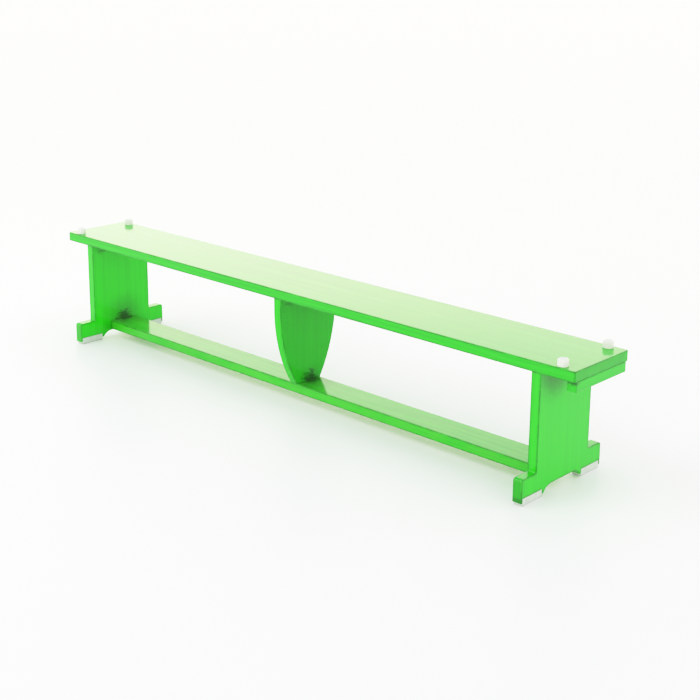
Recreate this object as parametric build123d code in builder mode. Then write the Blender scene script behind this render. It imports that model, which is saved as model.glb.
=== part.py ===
from build123d import *
import os

# Backless balance bench, in millimetres.
# The origin is on the floor under the middle of the bench.  +X runs along the seat towards the
# hook end, -Y is the front and +Z is up.

# Seat plank
seat_length = 2000.0
seat_width = 230.0
seat_thickness = 28.0
seat_top = 353.0
seat_corner_radius = 4.0
seat_underside = seat_top - seat_thickness

# Balance rail, between the two end frames
rail_width = 95.0
rail_thickness = 28.0
rail_underside = 29.0
rail_top = rail_underside + rail_thickness

# Rounded long edges of the boards
board_arris = 1.5

# End frames: an inverted T cut from one board
frame_thickness = 27.0
frame_outer_x = 903.0
frame_centre_x = frame_outer_x - frame_thickness / 2
frame_inner_x = frame_outer_x - frame_thickness
post_width = 224.0
foot_span = 340.0
foot_top = 70.0
wood_bottom = 9.0
foot_top_radius = 8.0
foot_bottom_radius = 5.0
post_root_radius = 3.0

# Arch between the feet: a flat crown that curves down to a pointed horn at each end
arch_top = 25.5
arch_crown_half = 46.0
horn_tip_y = 78.5

# Rubber pads, let into the underside of the feet
pad_length = 80.0
pad_width = 26.0
pad_height = 21.0
pad_centre_y = 125.0
pad_edge = 1.5
rebate_play = 0.25

# Centre support: straight for a little way under the seat, then curving in to the rail's width
support_thickness = 27.0
support_straight_bottom = 290.0

# Batten under the seat, flush with the right end
batten_thickness = 27.0
batten_height = 26.0
batten_length = 211.0
batten_centre_x = seat_length / 2 - batten_thickness / 2
batten_bottom = seat_underside - batten_height

# Buffers on the seat
buffer_diameter = 28.0
buffer_height = 18.0
buffer_crown_radius = 4.0
buffer_foot_chamfer = 0.8
buffer_x = 953.5
buffer_y = 97.0
buffer_recess_diameter = 13.0
buffer_recess_depth = 9.0

# Dowels: blind holes a little deeper than the dowel, so that the boards close up
dowel_diameter = 8.0
dowel_length = 38.0
dowel_play = 0.05
dowel_end_gap = 1.0
dowel_chamfer = 1.0
board_dowel_depth = 18.0
dowel_other_depth = dowel_length - board_dowel_depth
seat_dowel_pitch = 80.0
rail_dowel_pitch = 50.0
support_dowel_pitch = 50.0
rail_dowel_z = rail_underside + rail_thickness / 2

# Screws: the shank is modelled at its root diameter, without the thread
screw_shank_diameter = 4.0
screw_head_diameter = 8.0
screw_head_height = 2.6
screw_tip_length = 5.0
screw_slot_width = 1.2
screw_slot_length = 4.4
screw_slot_depth = 1.5
pilot_play = 0.05
pilot_end_gap = 1.0
countersink_play = 0.1

batten_screw_length = 44.0
batten_screw_count = 4
batten_screw_pitch = 58.0
batten_screw_sunk = 2.0

pad_screw_length = 40.0
pad_screw_pitch = 44.0
pad_screw_sunk = 3.0

buffer_screw_length = 30.0
buffer_screw_head_diameter = 8.5
buffer_screw_head_height = 3.0
buffer_screw_head_radius = 1.2

washer_diameter = 12.0
washer_thickness = 1.2
washer_hole_diameter = 4.6

end_signs = {"left": -1, "right": 1}
side_signs = {"front": -1, "back": 1}

pilot_radius = screw_shank_diameter / 2 + pilot_play
dowel_hole_radius = dowel_diameter / 2 + dowel_play


def facing_down(x, y, z):
    """A workplane at a point, with its normal towards the floor."""
    return Plane(origin=(x, y, z), x_dir=(1, 0, 0), z_dir=(0, 0, -1))


def facing_up(x, y, z):
    """A workplane at a point, with its normal upwards."""
    return Plane(origin=(x, y, z), x_dir=(1, 0, 0), z_dir=(0, 0, 1))


def facing_along(x, z, sign):
    """A workplane with its normal along the bench: +X for sign 1, -X for sign -1."""
    return Plane(origin=(x, 0, z), x_dir=(0, 1, 0), z_dir=(sign, 0, 0))


def buffer_places(z):
    """Workplanes on the four buffer centres at height z."""
    return [
        facing_up(x_sign * buffer_x, y_sign * buffer_y, z)
        for x_sign in end_signs.values()
        for y_sign in side_signs.values()
    ]


def save(builder, label):
    """Names a finished piece and writes it as its own STEP file."""
    builder.part.label = label
    export_step(builder.part, f"parts/{label}.step")


def make_seat_plank():
    with BuildPart() as seat_plank:
        with BuildSketch(Plane.XY.offset(seat_underside)):
            RectangleRounded(seat_length, seat_width, seat_corner_radius)
        extrude(amount=seat_thickness)
        rims = seat_plank.faces().filter_by(Axis.Z).edges()
        fillet(rims, radius=board_arris)
        # Dowel holes over the two end frames and the centre support
        for x in (-frame_centre_x, 0, frame_centre_x):
            with Locations(facing_down(x, 0, seat_underside)):
                with GridLocations(0, seat_dowel_pitch, 1, 3):
                    Hole(dowel_hole_radius, depth=board_dowel_depth + dowel_end_gap)
        # Pilot holes for the buffer screws and the batten screws
        buffer_pilot = buffer_screw_length - buffer_screw_seat() + pilot_end_gap
        with Locations(*buffer_places(seat_top)):
            Hole(pilot_radius, depth=buffer_pilot)
        batten_pilot = batten_screw_length - batten_height + batten_screw_sunk + pilot_end_gap
        with Locations(facing_down(batten_centre_x, 0, seat_underside)):
            with GridLocations(0, batten_screw_pitch, 1, batten_screw_count):
                Hole(pilot_radius, depth=batten_pilot)
    return seat_plank


def make_balance_rail():
    rail_length = 2 * frame_inner_x
    with BuildPart() as balance_rail:
        with BuildSketch(Plane.XY.offset(rail_underside)):
            Rectangle(rail_length, rail_width)
        extrude(amount=rail_thickness)
        fillet(balance_rail.edges().filter_by(Axis.X), radius=board_arris)
        # Dowel holes in both ends, and in the top under the centre support
        for sign in end_signs.values():
            with Locations(facing_along(sign * frame_inner_x, rail_dowel_z, sign)):
                with GridLocations(rail_dowel_pitch, 0, 2, 1):
                    Hole(dowel_hole_radius, depth=dowel_other_depth + dowel_end_gap)
        with Locations(facing_up(0, 0, rail_top)):
            with GridLocations(0, support_dowel_pitch, 1, 2):
                Hole(dowel_hole_radius, depth=board_dowel_depth + dowel_end_gap)
    return balance_rail


def make_end_frame(sign):
    """One end frame.  Its outline lies across the bench, and sign says which end it stands at."""
    post_half = post_width / 2
    foot_half = foot_span / 2
    rebate_inner = pad_centre_y - pad_length / 2 - rebate_play
    rebate_outer = pad_centre_y + pad_length / 2 + rebate_play
    with BuildPart() as end_frame:
        with BuildSketch(Plane.YZ.offset(sign * frame_centre_x)) as outline:
            with BuildLine():
                Polyline(
                    (0, seat_underside),
                    (post_half, seat_underside),
                    (post_half, foot_top),
                    (foot_half, foot_top),
                    (foot_half, wood_bottom),
                    (rebate_outer, wood_bottom),
                    (rebate_outer, pad_height),
                    (rebate_inner, pad_height),
                    (rebate_inner, wood_bottom),
                    (horn_tip_y, wood_bottom),
                )
                TangentArc(
                    (arch_crown_half, arch_top),
                    (horn_tip_y, wood_bottom),
                    tangent=(1, 0),
                )
                Line((arch_crown_half, arch_top), (0, arch_top))
                mirror(about=Plane.YZ)
            make_face()
            corners = outline.vertices()
            ends = corners.filter_by_position(Axis.X, -foot_half, -foot_half)
            ends += corners.filter_by_position(Axis.X, foot_half, foot_half)
            fillet(ends.group_by(Axis.Y)[-1], radius=foot_top_radius)
            fillet(ends.group_by(Axis.Y)[0], radius=foot_bottom_radius)
            roots = outline.vertices().filter_by_position(Axis.Y, foot_top, foot_top)
            roots = roots.filter_by_position(Axis.X, -post_half, post_half)
            fillet(roots, radius=post_root_radius)
        extrude(amount=frame_thickness / 2, both=True)
        # Round the edges of both faces: the rounding of the post runs on around the foot, and that
        # of the crown runs on down both sides of the arch
        uprights = end_frame.edges().filter_by(Axis.Z)
        fillet(uprights.filter_by(lambda edge: edge.center().Z > foot_top), radius=board_arris)
        crown = end_frame.edges().filter_by(Axis.Y).filter_by_position(Axis.Z, arch_top, arch_top)
        fillet(crown, radius=board_arris)
        # Dowel holes in the top edge and in the face that meets the rail
        with Locations(facing_up(sign * frame_centre_x, 0, seat_underside)):
            with GridLocations(0, seat_dowel_pitch, 1, 3):
                Hole(dowel_hole_radius, depth=dowel_other_depth + dowel_end_gap)
        with Locations(facing_along(sign * frame_inner_x, rail_dowel_z, -sign)):
            with GridLocations(rail_dowel_pitch, 0, 2, 1):
                Hole(dowel_hole_radius, depth=board_dowel_depth + dowel_end_gap)
        # Pilot holes over the pads
        pad_pilot = pad_screw_length - pad_height + pad_screw_sunk + pilot_end_gap
        for y_sign in side_signs.values():
            with Locations(facing_down(sign * frame_centre_x, y_sign * pad_centre_y, pad_height)):
                with GridLocations(0, pad_screw_pitch, 1, 2):
                    Hole(pilot_radius, depth=pad_pilot)
    return end_frame


def make_centre_support():
    top_half = post_width / 2
    bottom_half = rail_width / 2
    with BuildPart() as centre_support:
        with BuildSketch(Plane.YZ):
            with BuildLine():
                Polyline(
                    (0, seat_underside),
                    (top_half, seat_underside),
                    (top_half, support_straight_bottom),
                )
                TangentArc(
                    (top_half, support_straight_bottom),
                    (bottom_half, rail_top),
                    tangent=(0, -1),
                )
                Line((bottom_half, rail_top), (0, rail_top))
                mirror(about=Plane.YZ)
            make_face()
        extrude(amount=support_thickness / 2, both=True)
        flat_rims = centre_support.edges().filter_by(Axis.Y)
        across = centre_support.edges().filter_by(Axis.X)
        side_rims = centre_support.edges() - flat_rims - across
        fillet(side_rims, radius=board_arris)
        with Locations(facing_up(0, 0, seat_underside)):
            with GridLocations(0, seat_dowel_pitch, 1, 3):
                Hole(dowel_hole_radius, depth=dowel_other_depth + dowel_end_gap)
        with Locations(facing_down(0, 0, rail_top)):
            with GridLocations(0, support_dowel_pitch, 1, 2):
                Hole(dowel_hole_radius, depth=dowel_other_depth + dowel_end_gap)
    return centre_support


def make_hook_batten():
    with BuildPart() as hook_batten:
        with BuildSketch(Plane.XY.offset(batten_bottom).move(Location((batten_centre_x, 0, 0)))):
            Rectangle(batten_thickness, batten_length)
        extrude(amount=batten_height)
        rims = hook_batten.edges().filter_by(Axis.Y).group_by(Axis.Z)[0]
        fillet(rims, radius=board_arris)
        with Locations(facing_down(batten_centre_x, 0, batten_bottom)):
            with GridLocations(0, batten_screw_pitch, 1, batten_screw_count):
                countersunk_hole(batten_screw_sunk, batten_height)
    return hook_batten


def countersunk_hole(sunk, depth):
    """Cuts a through hole for a countersunk screw whose head sits sunk below the face."""
    Cylinder(
        screw_head_diameter / 2 + countersink_play,
        sunk + countersink_play,
        align=(Align.CENTER, Align.CENTER, Align.MAX),
        mode=Mode.SUBTRACT,
    )
    with Locations((0, 0, -sunk - countersink_play)):
        Cone(
            screw_shank_diameter / 2 + countersink_play,
            screw_head_diameter / 2 + countersink_play,
            screw_head_height,
            align=(Align.CENTER, Align.CENTER, Align.MAX),
            mode=Mode.SUBTRACT,
        )
    Cylinder(
        pilot_radius,
        depth,
        align=(Align.CENTER, Align.CENTER, Align.MAX),
        mode=Mode.SUBTRACT,
    )


def buffer_screw_seat():
    """Length of a buffer screw, under its head, that lies above the seat."""
    return buffer_height - buffer_recess_depth + washer_thickness


def make_buffer(x_sign, y_sign):
    with BuildPart() as buffer:
        base = Plane.XY.offset(seat_top).move(Location((x_sign * buffer_x, y_sign * buffer_y, 0)))
        with BuildSketch(base):
            Circle(buffer_diameter / 2)
        extrude(amount=buffer_height)
        fillet(buffer.edges().group_by(Axis.Z)[-1], radius=buffer_crown_radius)
        chamfer(buffer.edges().group_by(Axis.Z)[0], length=buffer_foot_chamfer)
        with Locations(facing_up(x_sign * buffer_x, y_sign * buffer_y, seat_top + buffer_height)):
            CounterBoreHole(
                radius=pilot_radius,
                counter_bore_radius=buffer_recess_diameter / 2,
                counter_bore_depth=buffer_recess_depth,
            )
    return buffer


def make_buffer_washers():
    with BuildPart() as buffer_washers:
        with Locations(*buffer_places(seat_top + buffer_height - buffer_recess_depth)):
            Cylinder(
                washer_diameter / 2,
                washer_thickness,
                align=(Align.CENTER, Align.CENTER, Align.MIN),
            )
            Cylinder(
                washer_hole_diameter / 2,
                washer_thickness,
                align=(Align.CENTER, Align.CENTER, Align.MIN),
                mode=Mode.SUBTRACT,
            )
    return buffer_washers


def make_buffer_screws():
    """Pan-head screws.  The local origin of each is under its head."""
    head_radius = buffer_screw_head_diameter / 2
    with BuildPart() as one_screw:
        Cylinder(
            head_radius,
            buffer_screw_head_height,
            align=(Align.CENTER, Align.CENTER, Align.MIN),
        )
        fillet(one_screw.edges().group_by(Axis.Z)[-1], radius=buffer_screw_head_radius)
        add_shank(buffer_screw_length)
        cut_cross_slot(buffer_screw_head_height)
    under_head = seat_top + buffer_screw_seat()
    with BuildPart() as buffer_screws:
        with Locations(*buffer_places(under_head)):
            add(one_screw.part)
    return buffer_screws


def add_shank(length):
    """A screw shank with a conical tip, hanging down from the local origin."""
    Cylinder(
        screw_shank_diameter / 2,
        length - screw_tip_length,
        align=(Align.CENTER, Align.CENTER, Align.MAX),
    )
    with Locations((0, 0, -(length - screw_tip_length))):
        Cone(
            0,
            screw_shank_diameter / 2,
            screw_tip_length,
            align=(Align.CENTER, Align.CENTER, Align.MAX),
        )


def cut_cross_slot(head_face):
    """A cross recess in a screw head, down from its face."""
    with Locations((0, 0, head_face)):
        for turn in (0, 90):
            Box(
                screw_slot_length,
                screw_slot_width,
                screw_slot_depth,
                rotation=(0, 0, turn),
                align=(Align.CENTER, Align.CENTER, Align.MAX),
                mode=Mode.SUBTRACT,
            )


def make_countersunk_screws(planes, pitch, count, length):
    """Countersunk screws in rows across the bench.  The local origin of each is its head's face."""
    with BuildPart() as one_screw:
        Cone(
            screw_shank_diameter / 2,
            screw_head_diameter / 2,
            screw_head_height,
            align=(Align.CENTER, Align.CENTER, Align.MAX),
        )
        add_shank(length)
        cut_cross_slot(0)
    with BuildPart() as screws:
        with Locations(*planes):
            with GridLocations(0, pitch, 1, count):
                add(one_screw.part)
    return screws


def make_batten_screws():
    head_face = batten_bottom + batten_screw_sunk
    planes = [facing_down(batten_centre_x, 0, head_face)]
    return make_countersunk_screws(planes, batten_screw_pitch, batten_screw_count, batten_screw_length)


def make_foot_pad_screws():
    planes = [
        facing_down(x_sign * frame_centre_x, y_sign * pad_centre_y, pad_screw_sunk)
        for x_sign in end_signs.values()
        for y_sign in side_signs.values()
    ]
    return make_countersunk_screws(planes, pad_screw_pitch, 2, pad_screw_length)


def make_foot_pad(x_sign, y_sign):
    x = x_sign * frame_centre_x
    y = y_sign * pad_centre_y
    with BuildPart() as foot_pad:
        with BuildSketch(Plane.XY.move(Location((x, y, 0)))):
            Rectangle(pad_width, pad_length)
        extrude(amount=pad_height)
        chamfer(foot_pad.edges().group_by(Axis.Z)[0], length=pad_edge)
        with Locations(facing_down(x, y, 0)):
            with GridLocations(0, pad_screw_pitch, 1, 2):
                countersunk_hole(pad_screw_sunk, pad_height)
    return foot_pad


def make_dowels(plane, x_pitch, y_pitch, x_count, y_count):
    """Dowels that run from the plane against its normal."""
    with BuildPart() as one_dowel:
        Cylinder(
            dowel_diameter / 2,
            dowel_length,
            align=(Align.CENTER, Align.CENTER, Align.MAX),
        )
        chamfer(one_dowel.edges().filter_by(GeomType.CIRCLE), length=dowel_chamfer)
    with BuildPart() as dowels:
        with Locations(plane):
            with GridLocations(x_pitch, y_pitch, x_count, y_count):
                add(one_dowel.part)
    return dowels


def make_seat_dowels(x):
    top = facing_up(x, 0, seat_underside + board_dowel_depth)
    return make_dowels(top, 0, seat_dowel_pitch, 1, 3)


def make_rail_end_dowels(sign):
    outer_end = facing_along(sign * (frame_inner_x + board_dowel_depth), rail_dowel_z, sign)
    return make_dowels(outer_end, rail_dowel_pitch, 0, 2, 1)


def make_rail_centre_dowels():
    bottom = facing_down(0, 0, rail_top - board_dowel_depth)
    return make_dowels(bottom, 0, support_dowel_pitch, 1, 2)


def main():
    os.makedirs("parts", exist_ok=True)
    save(make_seat_plank(), "seat_plank")
    save(make_balance_rail(), "balance_rail")
    save(make_centre_support(), "centre_support")
    save(make_hook_batten(), "hook_batten")
    for end, x_sign in end_signs.items():
        save(make_end_frame(x_sign), f"end_frame_{end}")
        save(make_seat_dowels(x_sign * frame_centre_x), f"seat_dowels_{end}")
        save(make_rail_end_dowels(x_sign), f"rail_dowels_{end}")
        for side, y_sign in side_signs.items():
            save(make_buffer(x_sign, y_sign), f"buffer_{end}_{side}")
            save(make_foot_pad(x_sign, y_sign), f"foot_pad_{end}_{side}")
    save(make_seat_dowels(0), "seat_dowels_centre")
    save(make_rail_centre_dowels(), "rail_dowels_centre")
    save(make_buffer_washers(), "buffer_washers")
    save(make_buffer_screws(), "buffer_screws")
    save(make_batten_screws(), "batten_screws")
    save(make_foot_pad_screws(), "foot_pad_screws")


main()
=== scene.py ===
"""Looks of the backless balance bench.

The boards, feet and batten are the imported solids, stained green under gloss lacquer.  The buffers,
washers, screws and dowels are made here by geometry nodes and stand for the plain solids.
"""

import math
from functools import partial
from typing import NamedTuple

import bpy
from bpy.props import FloatProperty, FloatVectorProperty, IntProperty, PointerProperty
from mathutils import Matrix, Vector


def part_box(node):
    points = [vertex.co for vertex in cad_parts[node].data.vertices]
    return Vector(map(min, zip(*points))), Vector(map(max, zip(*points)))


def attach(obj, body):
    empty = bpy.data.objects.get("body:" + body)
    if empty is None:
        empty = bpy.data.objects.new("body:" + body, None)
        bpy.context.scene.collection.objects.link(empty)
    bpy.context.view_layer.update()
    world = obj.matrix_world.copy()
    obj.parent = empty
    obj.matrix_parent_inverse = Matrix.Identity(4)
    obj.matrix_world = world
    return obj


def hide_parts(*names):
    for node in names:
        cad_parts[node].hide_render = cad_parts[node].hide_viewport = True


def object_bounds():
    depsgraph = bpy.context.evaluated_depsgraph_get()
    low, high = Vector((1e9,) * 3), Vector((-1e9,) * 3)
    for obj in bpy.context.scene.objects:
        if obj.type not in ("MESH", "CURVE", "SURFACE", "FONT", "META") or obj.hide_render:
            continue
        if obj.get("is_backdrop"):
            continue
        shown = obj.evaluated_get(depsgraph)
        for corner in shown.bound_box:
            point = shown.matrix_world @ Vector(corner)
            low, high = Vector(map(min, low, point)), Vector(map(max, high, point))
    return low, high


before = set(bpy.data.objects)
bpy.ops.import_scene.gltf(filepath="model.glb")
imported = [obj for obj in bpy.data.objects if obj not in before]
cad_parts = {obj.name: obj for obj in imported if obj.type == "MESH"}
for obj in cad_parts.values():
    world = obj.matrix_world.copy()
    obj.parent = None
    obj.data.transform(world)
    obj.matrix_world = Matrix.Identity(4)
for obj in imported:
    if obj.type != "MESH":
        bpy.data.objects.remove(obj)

bl_info = {
    "name": "Balance Bench Looks",
    "version": (1, 0, 0),
    "blender": (4, 5, 0),
    "location": "3D View > Sidebar > Bench",
    "description": "Finishes a packed balance bench: stained boards, buffers, fixings and a studio",
    "category": "Object",
}

BODY = "root"
MILLIMETRE = 0.001

ENDS = ("left", "right")
SIDES = ("front", "back")
BUFFER_NODES = [f"buffer_{end}_{side}" for end in ENDS for side in SIDES]
PAD_NODES = [f"foot_pad_{end}_{side}" for end in ENDS for side in SIDES]
FRAME_NODES = [f"end_frame_{end}" for end in ENDS]
SEAT_DOWEL_NODES = [f"seat_dowels_{place}" for place in ("left", "centre", "right")]
RAIL_DOWEL_NODES = [f"rail_dowels_{end}" for end in ENDS]

# Turns that lay a texture's or a piece's own axis along an axis of the bench
ALONG_X = (0, 0, 0)
ALONG_Y = (0, 0, math.pi / 2)
ALONG_Z = (0, -math.pi / 2, 0)


class Board(NamedTuple):
    """How one board was sawn and how it took its finish."""

    grain: tuple  # the turn that lays the pattern along the grain
    heart: tuple  # middle of the tree, from the middle of the board
    paleness: float = 0.0  # how much less stain it soaked up than the others
    wear: float = 0.0  # the most that its stain is rubbed away
    edge_share: float = 1.0  # how much of the dark line its edges show
    coat: float = 1.0  # how much of the lacquer's gloss it has


BOARDS = {
    "seat_plank": Board(ALONG_X, (0.0, 0.30, -0.22)),
    "balance_rail": Board(ALONG_X, (0.0, 0.05, -0.16), wear=0.10),
    "hook_batten": Board(ALONG_Y, (0.0, 0.03, -0.05), edge_share=0.35),
    "centre_support": Board(ALONG_Z, (0.0, -0.26, 0.12), paleness=0.2, coat=0.7),
    "end_frame_left": Board(ALONG_Z, (0.0, 0.24, 0.13), paleness=0.3, edge_share=0.7),
    "end_frame_right": Board(ALONG_Z, (0.0, -0.28, 0.10), paleness=0.2),
}


# Places and sizes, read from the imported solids


def extent(node, axis):
    """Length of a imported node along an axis."""
    low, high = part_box(node)
    return high[axis] - low[axis]


def centre(node):
    """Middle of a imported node's box."""
    low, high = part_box(node)
    return (low + high) / 2


def row(start, end, count):
    """Points in a straight row, both ends included."""
    return [start.lerp(end, step / (count - 1)) for step in range(count)]


# What a user would change

LengthProperty = partial(FloatProperty, unit="LENGTH")
AngleProperty = partial(FloatProperty, unit="ROTATION")
ShareProperty = partial(FloatProperty, subtype="FACTOR", min=0, max=1)
ColourProperty = partial(FloatVectorProperty, subtype="COLOR", size=3, min=0, max=1)
LightProperty = partial(FloatVectorProperty, subtype="COLOR", size=3, min=0, soft_max=4)


class BenchLacquer(bpy.types.PropertyGroup):
    """Colours, grain and gloss of the boards"""

    stain: ColourProperty(
        name="Stain", description="Stain on the pale part of the grain", default=(0.014, 0.51, 0.006)
    )
    deep_stain: ColourProperty(
        name="Deep stain",
        description="Stain on the dark part of the grain, which soaks up more of it",
        default=(0.005, 0.29, 0.004),
    )
    # Also the colour of the painted shade in the corners at the rail joints and under the seat, and of
    # the painted shadow under the seat's edge
    pooled_stain_and_shade: ColourProperty(
        name="Pooled stain",
        description="Stain that has gathered in corners and along edges",
        default=(0.001, 0.070, 0.002),
    )
    worn_stain: ColourProperty(
        name="Worn stain", description="Stain that shoes have rubbed thin", default=(0.27, 0.56, 0.12)
    )
    edge_width: LengthProperty(
        name="Edge width", description="Width of the darker line along each edge", default=0.006
    )
    edge_strength: ShareProperty(
        name="Edge strength", description="How dark the line along the edges is", default=0.75
    )
    ring_width: LengthProperty(
        name="Ring width", description="Width of one year's growth", default=0.007
    )
    stave_width: LengthProperty(
        name="Stave width",
        description="Width of the strips that a board is glued up from",
        default=0.058,
    )
    gloss_roughness: ShareProperty(
        name="Gloss roughness", description="Roughness of the lacquer: 0 is a mirror", default=0.12
    )


class BenchBuffers(bpy.types.PropertyGroup):
    """Sizes of the round buffers on the seat"""

    diameter: LengthProperty(
        name="Diameter",
        description="Diameter of a buffer at its foot",
        default=extent("buffer_left_front", 0),
    )
    height: LengthProperty(
        name="Height",
        description="Height of a buffer above the seat",
        default=extent("buffer_left_front", 2),
    )
    draft: LengthProperty(
        name="Draft", description="How much smaller the radius is at the top", default=0.0004
    )
    crown_radius: LengthProperty(
        name="Crown radius", description="Rounding of the top edge", default=0.004
    )
    recess_diameter: LengthProperty(
        name="Recess diameter",
        description="Diameter of the hole that takes the screw's head",
        default=0.013,
    )
    recess_depth: LengthProperty(
        name="Recess depth", description="Depth of the hole that takes the screw's head", default=0.009
    )
    cap_thickness: LengthProperty(
        name="Cap thickness", description="Thickness of the cap over the screw's head", default=0.002
    )
    hole_diameter: LengthProperty(
        name="Hole diameter", description="Diameter of the hole for the screw's shank", default=0.0046
    )
    washer_diameter: LengthProperty(
        name="Washer diameter", description="Outer diameter of the washer in the recess", default=0.012
    )


class BenchFixings(bpy.types.PropertyGroup):
    """Sizes of the screws and dowels"""

    head_diameter: LengthProperty(
        name="Head diameter",
        description="Diameter of a countersunk head",
        default=extent("batten_screws", 0),
    )
    head_height: LengthProperty(
        name="Head height", description="Height of a countersunk head", default=0.0026
    )
    pan_diameter: LengthProperty(
        name="Pan head diameter", description="Diameter of the buffer screws' heads", default=0.0085
    )
    pan_height: LengthProperty(
        name="Pan head height", description="Height of the buffer screws' heads", default=0.003
    )
    shank_diameter: LengthProperty(
        name="Shank diameter",
        description="Diameter of a screw at the root of its thread",
        default=0.004,
    )
    thread_height: LengthProperty(
        name="Thread height", description="How far the thread stands out of the shank", default=0.0005
    )
    thread_pitch: LengthProperty(
        name="Thread pitch",
        description="Distance from one turn of the thread to the next",
        default=0.0018,
    )
    tip_length: LengthProperty(
        name="Tip length", description="Length of a screw's pointed end", default=0.005
    )
    dowel_diameter: LengthProperty(
        name="Dowel diameter",
        description="Outer diameter of a dowel",
        default=extent("seat_dowels_left", 0),
    )
    dowel_flutes: IntProperty(
        name="Dowel flutes", description="Number of grooves along a dowel", min=3, default=16
    )


class BenchStudio(bpy.types.PropertyGroup):
    """Camera, floor and light"""

    camera_place: FloatVectorProperty(
        name="Camera place",
        description="Where the camera stands",
        unit="LENGTH",
        subtype="TRANSLATION",
        default=(2.5721, -2.5549, 1.3503),
    )
    camera_heading: AngleProperty(
        name="Camera heading",
        description="Turn of the camera about the vertical; 0 looks at the bench's front",
        default=0.7535,
    )
    camera_dip: AngleProperty(
        name="Camera dip", description="How far the camera looks down", default=0.2439
    )
    camera_roll: AngleProperty(
        name="Camera roll", description="Turn of the camera about its own line of sight", default=0.008
    )
    camera_lens: FloatProperty(
        name="Lens", description="Focal length of the lens, in millimetres", default=67.06
    )
    camera_drop: FloatProperty(
        name="Lens drop",
        description="How far the picture is shifted down, as a share of its width",
        default=0.143,
    )
    floor_radius: LengthProperty(
        name="Floor radius", description="Radius of the pale floor", default=30.0
    )
    wall_light: LightProperty(
        name="Wall light",
        description="Warm light from the studio's bright walls",
        default=(3.45, 3.27, 2.62),
    )
    ceiling_light: LightProperty(
        name="Ceiling light",
        description="Cooler light from the studio's ceiling",
        default=(1.08, 1.12, 1.20),
    )
    key_power: FloatProperty(
        name="Key power", description="Power of the large soft light, in watts", default=40.0
    )


# Small helpers for node trees


def fill_inputs(tree, node, inputs):
    """Fills a node's inputs: a socket is linked, and a value is set."""
    for key, value in inputs.items():
        if isinstance(value, bpy.types.NodeSocket):
            tree.links.new(value, node.inputs[key])
        else:
            node.inputs[key].default_value = value


def add_node(tree, kind, inputs=None, **settings):
    """Adds a node, sets its properties and fills its inputs."""
    made = tree.nodes.new(kind)
    for name, value in settings.items():
        setattr(made, name, value)
    fill_inputs(tree, made, inputs or {})
    return made


def result(tree, kind, inputs=None, **settings):
    """The first output of a new node."""
    return add_node(tree, kind, inputs, **settings).outputs[0]


def calculate(tree, operation, *values, clamp=False):
    """The result of a maths node."""
    return result(tree, "ShaderNodeMath", dict(enumerate(values)), operation=operation, use_clamp=clamp)


def calculate_vector(tree, operation, *values):
    """The result of a vector maths node: a number for a length, and a vector for anything else."""
    made = add_node(tree, "ShaderNodeVectorMath", dict(enumerate(values)), operation=operation)
    return made.outputs["Value" if operation == "LENGTH" else "Vector"]


def combine(tree, x, y, z):
    """A vector from three numbers or sockets."""
    return result(tree, "ShaderNodeCombineXYZ", {0: x, 1: y, 2: z})


def component(tree, vector, axis):
    """The part of a vector that lies along the X, Y or Z axis."""
    return add_node(tree, "ShaderNodeSeparateXYZ", {0: vector}).outputs[axis]


# Node helpers for materials

# Span that holds most of a noise's values
MOST_NOISE = (0.3, 0.7)


def new_material(name):
    """An empty node material with its shader, which is returned with its tree."""
    material = bpy.data.materials.new(name)
    material.use_nodes = True
    tree = material.node_tree
    tree.nodes.clear()
    shader = add_node(tree, "ShaderNodeBsdfPrincipled")
    add_node(tree, "ShaderNodeOutputMaterial", {"Surface": shader.outputs[0]})
    return material, tree, shader


def object_point(tree):
    """A point on the piece, in the bench's own frame."""
    return add_node(tree, "ShaderNodeTexCoord").outputs["Object"]


def speckle(tree, point, repeats, detail=2.0, roughness=0.5):
    """Noise from 0 to 1; its repeats per metre are one number, or one for each axis."""
    if isinstance(repeats, tuple):
        point = calculate_vector(tree, "MULTIPLY", point, repeats)
        repeats = 1.0
    settings = {"Vector": point, "Scale": repeats, "Detail": detail, "Roughness": roughness}
    return result(tree, "ShaderNodeTexNoise", settings)


def ramp(tree, value, start, end, low=0.0, high=1.0):
    """Value turned smoothly from low to high as it goes from start to end."""
    span = {0: value, 1: start, 2: end, 3: low, 4: high}
    return result(tree, "ShaderNodeMapRange", span, interpolation_type="SMOOTHSTEP")


def blend_colours(tree, share, first, second):
    """First colour where share is 0 and second where it is 1."""
    made = add_node(tree, "ShaderNodeMix", {0: share, 6: first, 7: second}, data_type="RGBA")
    return made.outputs[2]


def relief(tree, height, depth):
    """A normal bent by a height from 0 to 1, over a depth in metres."""
    return result(tree, "ShaderNodeBump", {"Height": height, "Distance": depth, "Strength": 1.0})


def rgba(colour):
    """A colour with full alpha."""
    return (*colour, 1.0)


# Sawn wood.  Repeats per metre are given along the grain and then twice across it, and shares are
# how much each part of the pattern adds to the tone.

WAVER_REPEATS = (1.6, 7.0, 7.0)
WAVER_REACH = (0.0, 0.022, 0.022)
STREAK_REPEATS = (1.1, 46.0, 46.0)
FIBRE_REPEATS = (9.0, 620.0, 620.0)
STAVE_SLIDE = 7.0
STAVE_LIFT = 0.05
LATE_WOOD_STARTS, LATE_WOOD_PEAKS, LATE_WOOD_ENDS = 0.25, 0.85, 0.9
BASE_TONE = 0.15
STREAK_SHARE = 0.9
FIBRE_SHARE = 0.55
LATE_WOOD_SHARE = -0.26
STAVE_SHARE = 0.12
RAISED_LATE_WOOD = 0.35
RAISED_FIBRES = 0.65


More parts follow.
